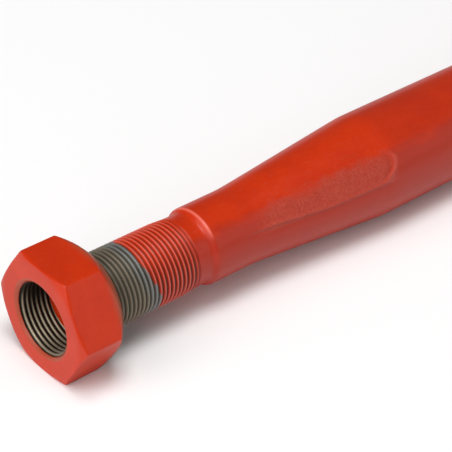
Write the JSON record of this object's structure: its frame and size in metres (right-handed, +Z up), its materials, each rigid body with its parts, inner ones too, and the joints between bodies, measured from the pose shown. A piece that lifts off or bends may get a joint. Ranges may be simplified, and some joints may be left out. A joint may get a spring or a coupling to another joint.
{
  "type": "tubular link bar",
  "caption": "Painted steel tube drawn down to a fine outside thread at each end, with a hexagon nut screwed on each end.",
  "frame": {"origin": "centre of the bar: on the tube's axis, halfway between its two end faces", "axes": "+X along the bar from the near end to the far end, +Z up, with a flat of each nut facing up and one facing down"},
  "size_m": [0.628, 0.0532, 0.046],
  "materials": {
    "painted_tube": "satin enamel with bare oiled steel on part of the threads",
    "painted_nut": "satin enamel outside, bare steel thread inside"
  },
  "bodies": {
    "bar": {"link_tube": "painted_tube"},
    "near_nut_body": {"near_nut": "painted_nut"},
    "far_nut_body": {"far_nut": "painted_nut"}
  },
  "joints": [
    {"name": "near_nut_travel", "type": "slide", "parent": "bar", "child": "near_nut_body", "axis": [1, 0, 0], "range_m": [-0.006, 0.04]},
    {"name": "far_nut_travel", "type": "slide", "parent": "bar", "child": "far_nut_body", "axis": [-1, 0, 0], "range_m": [-0.006, 0.04]}
  ]
}
